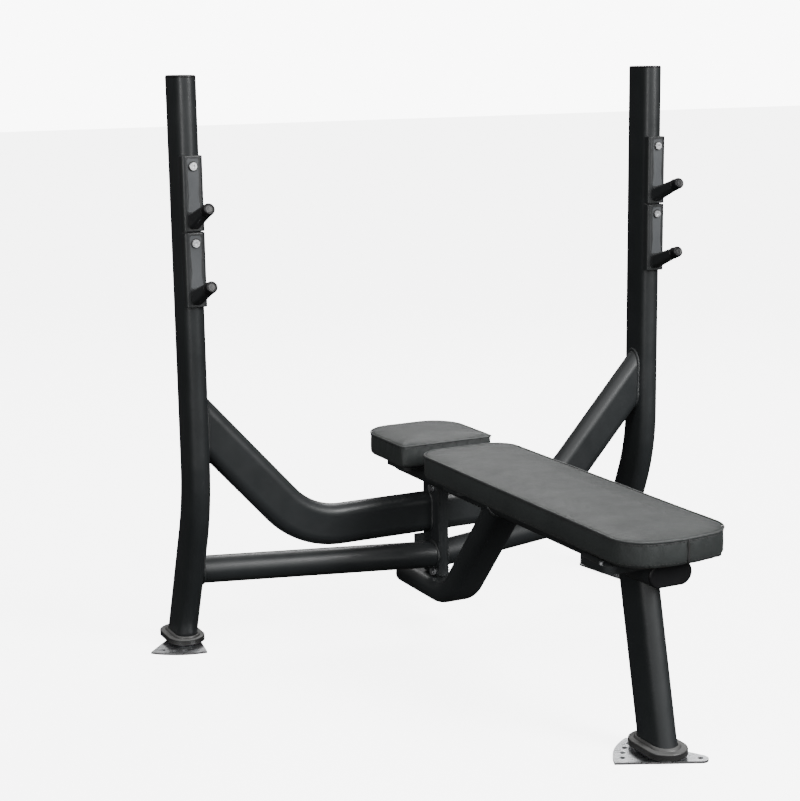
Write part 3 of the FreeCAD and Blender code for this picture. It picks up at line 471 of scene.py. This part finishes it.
def make_welds():
    """Beads where tubes meet: cross tubes on uprights and plates, leg and spine under the rail."""
    grids = []
    round_tube = flat_oval(*LOW_CROSS_RADIUS)
    for sign, upright_x in zip((-1, 1), UPRIGHT_X):
        wall = upright_x - sign * (TUBE_SHORT + OFF_WALL)
        rise = CROSS_Z + (abs(wall) - CROSS_BEND_X) * math.tan(CROSS_SLANT)
        tall = flat_oval(TUBE_LONG, TUBE_SHORT) * (1.0, 1 / math.cos(CROSS_SLANT))
        grids.append(bead(side_loop(wall, UPRIGHT_Y, rise, tall), ACROSS, sign, 0.0042))
        share = abs(wall) / abs(upright_x)
        low_y = UPRIGHT_Y + LOW_CROSS_MIDDLE[0] + LOW_CROSS_RUN[0] * share
        low_z = LOW_CROSS_MIDDLE[1] + LOW_CROSS_RUN[1] * share
        grids.append(bead(side_loop(wall, low_y, low_z, round_tube), ACROSS, sign + 2, 0.0038))
        flange = sign * FLANGE_X
        flat_tube = flat_oval(TUBE_LONG, TUBE_SHORT)
        grids.append(bead(side_loop(flange, UPRIGHT_Y, CROSS_Z, flat_tube), ACROSS, sign + 4))
        flange_y = UPRIGHT_Y + LOW_CROSS_AT_FLANGE[0]
        low_end = side_loop(flange, flange_y, LOW_CROSS_AT_FLANGE[1], round_tube)
        grids.append(bead(low_end, ACROSS, sign + 6))
    low_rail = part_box("bench_rail")[0][2]
    leg = flat_oval(TUBE_LONG * FRONT_CUT, TUBE_SHORT)
    leg_y = UPRIGHT_Y + LEG_FLOOR_Y + FRONT_LEAN * low_rail
    leg_loop = [leg[:, 0], leg_y + leg[:, 1], np.full(len(leg), low_rail - UNDER_RAIL)]
    grids.append(bead(np.stack(leg_loop, -1), UPWARD, 9, 0.0040))
    grids.append(bead(spine_loop(low_rail), UPWARD, 11, 0.0042))
    add_surface("weld_beads", grids, FINISHES["frame_paint"], wrap_rows=True)


def spine_loop(low_rail):
    """Where the leaning spine tube meets the round underside of the rail: its flat oval carried
    along its slope up to the rail's surface."""
    wide = flat_oval(TUBE_LONG, TUBE_SHORT, 400)
    x, along = wide[:, 1], wide[:, 0]
    over = np.clip(np.abs(x) - TUBE_SHORT, 0, None)
    z = low_rail + TUBE_SHORT - np.sqrt(TUBE_SHORT ** 2 - np.clip(over, 0, TUBE_SHORT * 0.985) ** 2)
    spine_y, spine_z = SPINE_PLACE
    lean = along / math.sin(math.atan(SPINE_SLOPE))
    y = UPRIGHT_Y + spine_y - (z - spine_z) / SPINE_SLOPE + lean
    return np.stack([x, y, z - UNDER_RAIL], -1)


make_welds()


# ---------------------------------------------------------------- hook arm caps and collar lips

ARM_RISE = math.radians(16.8)
ARM_ROOT_Y = -0.132
ARM_ROOT_Z = 0.0498
# (radius, distance along the arm)
CAP_PROFILE = np.array([
    (0.0001, 0.0000), (0.0100, 0.0000), (0.0132, 0.0002), (0.0142, 0.0010), (0.0144, 0.0024),
    (0.0141, 0.0040), (0.0134, 0.0047), (0.0128, 0.0051), (0.0127, 0.0058), (0.0131, 0.0064),
    (0.0135, 0.0072), (0.0136, 0.0110), (0.0136, 0.0160), (0.0135, 0.0185), (0.0130, 0.0208),
    (0.0121, 0.0226), (0.0108, 0.0236), (0.0100, 0.0238), (0.0096, 0.0236), (0.0093, 0.0229),
    (0.0088, 0.0226), (0.0050, 0.0228), (0.0002, 0.0229)])


def make_arm_caps():
    """Pushed-on end cap turned about the arm's axis: a lip, a groove, a barrel and a dished end."""
    along = np.array([0.0, -math.cos(ARM_RISE), math.sin(ARM_RISE)])
    side = np.array(ACROSS)
    turn = around(56)
    spoke = np.cos(turn)[:, None] * side + np.sin(turn)[:, None] * np.cross(side, along)
    radius = CAP_PROFILE[:, 0, None, None]
    run = CAP_PROFILE[:, 1, None, None]
    grids = []
    for side_name in ("left", "right"):
        for level in ("upper", "lower"):
            low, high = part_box("%s_%s_hook" % (side_name, level))
            start = np.array([(low[0] + high[0]) / 2, UPRIGHT_Y + ARM_ROOT_Y, low[2] + ARM_ROOT_Z])
            grids.append(start + radius * spoke[None] + run * along)
    caps = add_surface("arm_end_caps", grids, FINISHES["cap_plastic"])
    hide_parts("hook_knobs")


make_arm_caps()


# (distance from the leg, height above the collar)
LIP_PROFILE = np.array([(0.0002, -0.004), (0.0002, 0.0035), (0.0010, 0.0044), (0.0026, 0.0046),
                        (0.0040, 0.0038), (0.0052, 0.0020), (0.0070, 0.0004), (0.0078, -0.004)])


def make_collar_lips():
    """Raised soft lip of each collar round its leg: a band carried along the leg's outline, leaning
    with the leg."""
    grids = []
    for foot, cut, lean in (("left", REAR_CUT, -REAR_LEAN), ("right", REAR_CUT, -REAR_LEAN),
                            ("front", FRONT_CUT, FRONT_LEAN)):
        low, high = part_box(foot + "_foot_collar")
        oval = flat_oval(TUBE_LONG * cut, TUBE_SHORT, 200)
        centre = ((low[0] + high[0]) / 2, (low[1] + high[1]) / 2)
        path = np.column_stack([centre[0] + oval[:, 0], centre[1] + oval[:, 1],
                                np.full(len(oval), high[2])])
        out, up = closed_frames(path, UPWARD)[1:]
        grid = (path[:, None] + LIP_PROFILE[None, :, 0, None] * out[:, None]
                + LIP_PROFILE[None, :, 1, None] * up[:, None])
        grid[..., 1] += lean * (grid[..., 2] - (low[2] + high[2]) / 2)
        grids.append(grid)
    add_surface("collar_lips", grids, FINISHES["foot_collar"], wrap_rows=True)


make_collar_lips()


# ---------------------------------------------------------------- sewn pads

def rounded_outline(corners, radii, count):
    """Polygon with a tangent arc at each corner, resampled at even steps."""
    points = []
    corners = [np.array(c, float) for c in corners]
    for i, corner in enumerate(corners):
        back = corners[i - 1] - corner
        ahead = corners[(i + 1) % len(corners)] - corner
        back /= np.linalg.norm(back)
        ahead /= np.linalg.norm(ahead)
        half = math.acos(float(np.clip(back @ ahead, -1, 1))) / 2
        middle = (back + ahead) / np.linalg.norm(back + ahead)
        centre = corner + middle * radii[i] / math.sin(half)
        first = corner + back * radii[i] / math.tan(half) - centre
        last = corner + ahead * radii[i] / math.tan(half) - centre
        a, b = math.atan2(first[1], first[0]), math.atan2(last[1], last[0])
        b = a + (b - a + math.pi) % (2 * math.pi) - math.pi
        turn = np.linspace(a, b, 60)
        points.append(centre + radii[i] * np.stack([np.cos(turn), np.sin(turn)], -1))
    return even_loop(np.vstack(points), count)


NEAR_MIDDLE = 0.09


def pad_shell(outline, low, profile):
    """Closed shell: each ring is the outline drawn towards the pad's middle line by the profile's first
    number (metres), at the height of its second; the last rings close on that middle line."""
    half = (outline[:, 0].max() - outline[:, 0].min()) / 2
    nearest, furthest = outline[:, 1].min() + half * 0.9, outline[:, 1].max() - half * 0.9
    target = np.stack([np.zeros(len(outline)), np.clip(outline[:, 1], nearest, furthest)], -1)
    reach = outline - target
    length = np.linalg.norm(reach, axis=1, keepdims=True)
    rings = []
    for inward, height in profile:
        scale = 1 - inward / length if inward < NEAR_MIDDLE else np.full_like(length, 0.12 - inward)
        flat = target + reach * np.clip(scale, 0.004, None)
        rings.append(np.column_stack([flat, np.full(len(flat), low + height)]))
    return np.array(rings)


CLOTH_FRAMES = 20
CLOTH_PRESSURE = 4.0


def blown_up(name, shell, voxel, cap, held):
    """The shell remeshed evenly and swollen by cloth pressure; held(points) tells what stays pinned.
    No point moves further than the cap. Returns its points and faces."""
    rows, columns = shell.shape[:2]
    quads = grid_faces(rows, columns, False)
    ends = [list(range(columns))[::-1], [(rows - 1) * columns + j for j in range(columns)]]
    mesh = bpy.data.meshes.new(name)
    mesh.from_pydata(shell.reshape(-1, 3).tolist(), [], quads.tolist() + ends)
    work = link_object(name, mesh)
    remesh = work.modifiers.new("even", "REMESH")
    remesh.mode = "VOXEL"
    remesh.voxel_size = voxel
    even = bpy.data.meshes.new_from_object(work.evaluated_get(bpy.context.evaluated_depsgraph_get()))
    work.modifiers.clear()
    work.data = even
    start = np.empty(len(even.vertices) * 3)
    even.vertices.foreach_get("co", start)
    start = start.reshape(-1, 3)
    faces = [tuple(face.vertices) for face in even.polygons]
    points = start.copy()
    pins = work.vertex_groups.new(name="pins")
    pins.add(np.flatnonzero(held(start)).tolist(), 1.0, "REPLACE")
    cloth = work.modifiers.new("cloth", "CLOTH")
    cloth.settings.use_pressure = True
    cloth.settings.uniform_pressure_force = CLOTH_PRESSURE
    cloth.settings.vertex_group_mass = "pins"
    cloth.settings.effector_weights.gravity = 0.0
    cloth.point_cache.frame_start = 1
    cloth.point_cache.frame_end = CLOTH_FRAMES
    for step in range(1, CLOTH_FRAMES + 1):
        bpy.context.scene.frame_set(step)
    swollen = work.evaluated_get(bpy.context.evaluated_depsgraph_get()).data
    swollen.vertices.foreach_get("co", points.ravel())
    bpy.context.scene.frame_set(1)
    moved = points - start
    far = np.linalg.norm(moved, axis=1, keepdims=True)
    points = start + moved * np.minimum(1.0, cap / np.maximum(far, 1e-9))
    bpy.data.objects.remove(work)
    return points, faces


def nearest_run(outline, points):
    """For every point: its place along the outline (metres) and its distance from it."""
    step = np.linalg.norm(np.roll(outline, -1, 0) - outline, axis=1)
    run = np.concatenate([[0], np.cumsum(step)])[:-1]
    best = np.empty(len(points), int)
    for start in range(0, len(points), 4000):
        part = points[start:start + 4000, None, :2] - outline[None]
        best[start:start + 4000] = np.argmin((part ** 2).sum(-1), 1)
    return run[best], np.linalg.norm(points[:, :2] - outline[best], axis=1)


def puckers(points, outline, seam, depth, reach):
    """Small gathers either side of the seam: waves along it that fade within the reach."""
    run, away = nearest_run(outline, points)
    middle = np.array([0.0, outline[:, 1].mean()])
    wave = (np.sin(run * FULL_TURN / 0.031 + 1.3 * np.sin(run * 9.0))
            + 0.6 * np.sin(run * FULL_TURN / 0.017 + 2.1 * np.sin(run * 5.0)))
    gather = 0.35 + 0.65 * (0.5 + 0.5 * np.sin(run * 6.3 + 0.7)) ** 2
    near = np.exp(-((points[:, 2] - seam) ** 2 + away ** 2) / reach ** 2)
    inward = middle - points[:, :2]
    inward /= np.maximum(np.linalg.norm(inward, axis=1, keepdims=True), 1e-6)
    moved = points.copy()
    moved[:, :2] += inward * (depth * wave * gather * near)[:, None]
    moved[:, 2] += 0.5 * depth * wave * gather * near
    return moved


def add_pad(name, node, points, faces):
    mesh = bpy.data.meshes.new(name)
    mesh.from_pydata(points.tolist(), [], faces)
    mesh.shade_smooth()
    mesh.materials.append(FINISHES["pad_vinyl"])
    pad = link_object(name, mesh)
    smooth = pad.modifiers.new("subdivision", "SUBSURF")
    smooth.levels = 1
    smooth.render_levels = 1
    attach(pad, "frame")
    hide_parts(node)


def thread_fat(share, thick):
    """Radius of a stitch along its length, share -1 to 1: fullest in the middle."""
    return thick * np.sqrt(np.clip(1 - share ** 2 * 0.9, 0, None))


def stitch_row(path, pitch, length, thick):
    """Short threads along a closed path: each a thin bead that dips at both ends."""
    total = np.linalg.norm(np.roll(path, -1, 0) - path, axis=1).sum()
    count = int(total / pitch)
    path = even_loop(path, count * 8)
    along, side, top = closed_frames(path, UPWARD)
    share = np.linspace(-1, 1, 6)
    turn = around(6)
    fat = thread_fat(share, thick)[:, None, None]
    grids = []
    for k in np.arange(count) * 8:
        centre = (path[k] + along[k] * share[:, None] * length / 2
                  - side[k] * (share[:, None] ** 2) * thick * 0.9)
        grids.append(centre[:, None] + fat * (np.cos(turn)[None, :, None] * side[k]
                                              + np.sin(turn)[None, :, None] * top[k]))
    return grids


def seam_path(outline, points, height, stand_off):
    """The outline at that height, laid on the swollen side of the pad: at each place as far out as
    the pad's points near it reach."""
    band = points[np.abs(points[:, 2] - height) < 0.006]
    side = closed_frames(np.column_stack([outline, np.full(len(outline), height)]), UPWARD)[1]
    offsets = np.empty(len(outline))
    for start in range(0, len(outline), 100):
        here = outline[start:start + 100]
        gap = band[None, :, :2] - here[:, None]
        near = np.linalg.norm(gap, axis=2) < 0.014
        out = np.einsum("ijk,ik->ij", gap, side[start:start + 100, :2])
        offsets[start:start + 100] = np.where(near, out, -0.004).max(1)
    wrapped = np.concatenate([offsets[-12:], offsets, offsets[:12]])
    smooth = np.convolve(wrapped, np.ones(25) / 25, "valid")
    flat = outline + side[:, :2] * (smooth + stand_off)[:, None]
    return np.column_stack([flat, np.full(len(flat), height)])


BOARD_WRAP = 0.0075
SEAM_DROP = 0.0050
PINNED_BASE = 0.0045
PINNED_SEAM = 0.0028
PINNED_EDGE = 0.006
MOST_SWELL = 0.0035
STITCH_DROP = 0.0055
STITCH_OUT = 0.0001
WELT_OUT = 0.0004


def pad_profile(seam, sides, crown):
    """Profile for pad_shell: flat base, boxed side with its three widths, seam, crowned top."""
    return [(0.118, 0.0), (0.05, 0.0), (0.012, 0.0), (0.004, 0.0008), (0.001, 0.004),
            (sides[0], 0.012), (sides[1], 0.022), (sides[2], 0.032), (0.0014, seam - 0.003),
            (0.0030, seam), (0.0040, seam + 0.0015),
            *((inward, seam + rise) for inward, rise in zip((0.0075, 0.014, 0.03, 0.06, 0.118), crown))]


def sew_cover(node, outline, sides, crown, voxel, pucker, reach, welt_radius):
    """Cover of one pad with its welt and the row of stitches under it. Returns the cover's points,
    the height of its base, the height of its seam and that row of stitches."""
    low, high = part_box(node)
    base = low[2] - BOARD_WRAP
    seam = high[2] - base - SEAM_DROP
    seam_z = base + seam

    def held(points):
        at_base = points[:, 2] < base + PINNED_BASE
        at_seam = np.abs(points[:, 2] - seam_z) < PINNED_SEAM
        at_edge = nearest_run(outline, points)[1] < PINNED_EDGE
        return at_base | (at_seam & at_edge)

    shell = pad_shell(outline, base, pad_profile(seam, sides, crown))
    points, faces = blown_up(node + "_cloth", shell, voxel, MOST_SWELL, held)
    points = puckers(points, outline, seam_z, pucker, reach)
    points[:, 2] = np.maximum(points[:, 2], base + 0.0002)
    add_pad(node + "_cover", node, points, faces)
    welt_path = seam_path(outline, points, seam_z, WELT_OUT)
    radius = welt_radius + 0.00015 * np.sin(np.arange(len(welt_path)) * 0.7)
    welt = tube_round(welt_path, radius, UPWARD, 10)
    add_surface(node + "_welt", [welt], WELT_VINYL, wrap_rows=True)
    below = seam_path(outline, points, seam_z - STITCH_DROP, STITCH_OUT)
    return points, base, seam_z, stitch_row(below, pitch=0.0072, length=0.0048, thick=0.0007)


def make_main_pad():
    """Long pad: boxed sides, a welt just under the top edge, a crowned top and a sewn joint in front."""
    low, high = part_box("main_pad")
    front = low[1] - 0.0015
    shoulder = low[1] + 0.0215
    rear = high[1]
    corners = [(-0.125, shoulder), (0, front), (0.125, shoulder), (0.1205, rear), (-0.1205, rear)]
    outline = rounded_outline(corners, [0.070, 0.300, 0.070, 0.058, 0.058], 900)
    points, base, seam_z, rows = sew_cover(
        "main_pad", outline, (0.0005, 0.0004, 0.0006), (0.0028, 0.0038, 0.0048, 0.0056, 0.0060),
        voxel=0.0056, pucker=0.0011, reach=0.014, welt_radius=0.0021)
    lower = seam_path(outline, points, base + BOARD_WRAP, STITCH_OUT)
    rows += stitch_row(lower, pitch=0.0080, length=0.0050, thick=0.0006)
    add_surface("main_pad_stitches", rows, THREAD)
    make_front_joint(outline, points, base, seam_z)


def make_front_joint(outline, points, low_z, seam_z):
    """Upright sewn joint in the middle of the main pad's front: a fold with stitches on both sides."""
    loop = seam_path(outline, points, (low_z + seam_z) / 2, 0.0)
    off_middle = np.abs(loop[:, 0] - 0.004)
    x, y = loop[np.argmin(off_middle + 5 * (loop[:, 1] - loop[:, 1].min())), :2]
    height = np.linspace(low_z + 0.003, seam_z - 0.001, 40)
    share = 2 * (height - height[0]) / (height[-1] - height[0]) - 1
    fat = 0.0021 * np.sqrt(np.clip(1 - share ** 8, 0.05, 1))
    wander = 0.0004 * np.sin(height * 260)
    turn = around(10)
    grid = np.stack([x + wander[:, None] + fat[:, None] * np.cos(turn),
                     y - 0.0006 + fat[:, None] * 0.8 * np.sin(turn),
                     np.broadcast_to(height[:, None], (40, 10))], -1)
    rows = []
    share = np.linspace(-1, 1, 6)
    spin = around(6)
    fat = thread_fat(share, 0.0006)[:, None]
    for z in np.arange(low_z + 0.006, seam_z - 0.006, 0.006):
        for thread_x in (x - 0.0042, x + 0.0042):
            rows.append(np.stack([thread_x + fat * np.cos(spin), y + 0.0002 + fat * np.sin(spin),
                                  np.broadcast_to(z + 0.002 * share[:, None], (6, 6))], -1))
    add_surface("main_pad_front_fold", [grid], THREAD)
    add_surface("main_pad_front_stitches", rows, THREAD)


def make_head_pad():
    """Short pad: square front edge, round rear corners, the same boxed side with its welt."""
    low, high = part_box("head_pad")
    corners = [(-0.1215, low[1]), (0.1215, low[1]), (0.122, high[1]), (-0.122, high[1])]
    outline = rounded_outline(corners, [0.010, 0.010, 0.080, 0.080], 700)
    rows = sew_cover(
        "head_pad", outline, (0.0004, 0.0002, 0.0005), (0.0036, 0.0054, 0.0078, 0.0098, 0.0104),
        voxel=0.0048, pucker=0.0016, reach=0.016, welt_radius=0.0019)[-1]
    add_surface("head_pad_stitches", rows, THREAD)


make_main_pad()
make_head_pad()


# ---------------------------------------------------------------- camera, floor and light

CAMERA_PLACE = (-1.8851, -3.2306, 1.3746)
CAMERA_AZIMUTH = -26.28
CAMERA_ELEVATION = 11.34
CAMERA_ROLL = -0.85
CAMERA_LENS = 77.98
FLOOR_HALF = 30.0
FLOOR_GLOW = 5.5
PAPER_GLOW = 9.0


def make_camera():
    """The camera's axes: back from its azimuth and elevation, then right and up turned by the roll."""
    turn = math.radians(CAMERA_AZIMUTH)
    tilt = math.radians(CAMERA_ELEVATION)
    roll = math.radians(CAMERA_ROLL)
    back = Vector((math.sin(turn) * math.cos(tilt), -math.cos(turn) * math.cos(tilt), math.sin(tilt)))
    right = (-back).cross(Vector((0, 0, 1))).normalized()
    up = right.cross(-back)
    axis_right = math.cos(roll) * right + math.sin(roll) * up
    axis_up = -math.sin(roll) * right + math.cos(roll) * up
    data = bpy.data.cameras.new("camera")
    data.lens = CAMERA_LENS
    data.sensor_width = 36.0
    data.clip_end = 50.0
    camera = link_object("camera", data)
    matrix = Matrix((axis_right, axis_up, back)).transposed().to_4x4()
    matrix.translation = Vector(CAMERA_PLACE)
    camera.matrix_world = matrix
    bpy.context.scene.camera = camera


def make_floor():
    """Pale floor that glows for the camera only, so that the object isn't lit from below."""
    mesh = bpy.data.meshes.new("floor")
    corners = [(-FLOOR_HALF, -FLOOR_HALF, 0), (FLOOR_HALF, -FLOOR_HALF, 0),
               (FLOOR_HALF, FLOOR_HALF, 0), (-FLOOR_HALF, FLOOR_HALF, 0)]
    mesh.from_pydata(corners, [], [(0, 1, 2, 3)])
    floor = link_object("floor", mesh)
    material, tree, shader = finish_on("pale_floor", Roughness=0.75, Emission_Strength=FLOOR_GLOW)
    shader.inputs["Emission Color"].default_value = (1, 1, 1, 1)
    tone = mixed(tree, effect(tree, BLOTCH, scale=0.8), (0.93, 0.93, 0.93), (0.95, 0.95, 0.95))
    tree.links.new(tone, shader.inputs["Base Color"])
    mesh.materials.append(material)
    floor.visible_diffuse = False
    floor.visible_glossy = False


def area_light(name, place, aim, size, power):
    data = bpy.data.lights.new(name, "AREA")
    data.shape = "RECTANGLE"
    data.size, data.size_y = size
    data.energy = power
    light = link_object(name, data)
    light.location = place
    light.rotation_euler = (Vector(aim) - Vector(place)).to_track_quat("-Z", "Y").to_euler()


def make_studio():
    """World light that fades from overhead to a dark floor line, with a broad soft panel ahead. The
    camera sees white paper instead."""
    world = bpy.data.worlds.new("studio")
    world.use_nodes = True
    tree = world.node_tree
    lamp = tree.nodes["Background"]
    lamp.inputs["Color"].default_value = (1, 1, 1, 1)
    place = join(tree, "ShaderNodeTexCoord")
    split = join(tree, "ShaderNodeSeparateXYZ", {"Vector": place.outputs["Generated"]})
    above = ranged(tree, split.outputs["Z"], -0.05, 0.9, 0.03, 0.31)
    facing = join(tree, "ShaderNodeVectorMath", {0: place.outputs["Generated"], 1: (-0.35, -0.92, 0.18)},
                  operation="DOT_PRODUCT")
    ahead = ranged(tree, facing.outputs["Value"], 0.05, 0.95, 0.0, 1.7)
    level = multiplied(tree, ahead, ranged(tree, split.outputs["Z"], -0.12, 0.10))
    total = join(tree, "ShaderNodeMath", {0: above, 1: level}, operation="ADD")
    tree.links.new(total.outputs[0], lamp.inputs["Strength"])
    paper = join(tree, "ShaderNodeBackground", {"Color": (1, 1, 1, 1), "Strength": PAPER_GLOW})
    seen = join(tree, "ShaderNodeLightPath")
    both = join(tree, "ShaderNodeMixShader", {0: seen.outputs["Is Camera Ray"], 1: lamp.outputs[0],
                                              2: paper.outputs[0]})
    tree.links.new(both.outputs[0], tree.nodes["World Output"].inputs["Surface"])
    bpy.context.scene.world = world


make_camera()
make_floor()
area_light("key", (1.6, -3.6, 3.0), (0, 0, 0.5), (1.4, 2.6), 330)
area_light("side", (-3.8, -1.6, 1.9), (0, 0, 0.6), (0.9, 2.6), 60)
area_light("back", (1.8, 3.2, 3.2), (0, 0, 0.6), (3.0, 1.2), 110)
make_studio()
